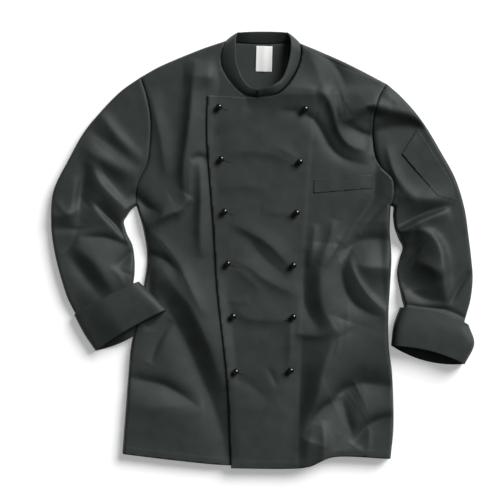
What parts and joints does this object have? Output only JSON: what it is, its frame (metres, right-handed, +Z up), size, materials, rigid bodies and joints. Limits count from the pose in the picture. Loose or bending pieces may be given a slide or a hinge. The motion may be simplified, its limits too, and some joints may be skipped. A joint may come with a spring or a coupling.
{
  "type": "chef jacket",
  "caption": "Double-breasted chef jacket in dark twill, lying flat with its front up, with a stand collar, turned-up cuffs, ball buttons, a chest pocket and a sleeve pocket.",
  "frame": {"origin": "on the surface that the jacket lies on, under the middle of its whole outline", "axes": "+Z up, out of the front; +Y towards the collar; +X towards the wearer's left sleeve"},
  "size_m": [0.784, 0.8096, 0.0405],
  "materials": {
    "charcoal_twill": "smooth cotton and polyester twill with a soft satin sheen",
    "woven_label": "white woven tape, matt",
    "black_button": "polished"
  },
  "bodies": {
    "root": {"back": "charcoal_twill", "front_left": "charcoal_twill", "front_right": "charcoal_twill", "sleeve_left": "charcoal_twill", "sleeve_right": "charcoal_twill", "cuff_left": "charcoal_twill", "cuff_right": "charcoal_twill", "collar": "charcoal_twill", "chest_pocket_welt": "charcoal_twill", "sleeve_pocket": "charcoal_twill", "neck_label": "woven_label", "button_left_1": "black_button", "button_left_2": "black_button", "button_left_3": "black_button", "button_left_4": "black_button", "button_left_5": "black_button", "button_left_6": "black_button", "button_right_1": "black_button", "button_right_2": "black_button", "button_right_3": "black_button", "button_right_4": "black_button", "button_right_5": "black_button", "button_right_6": "black_button"}
  },
  "joints": []
}
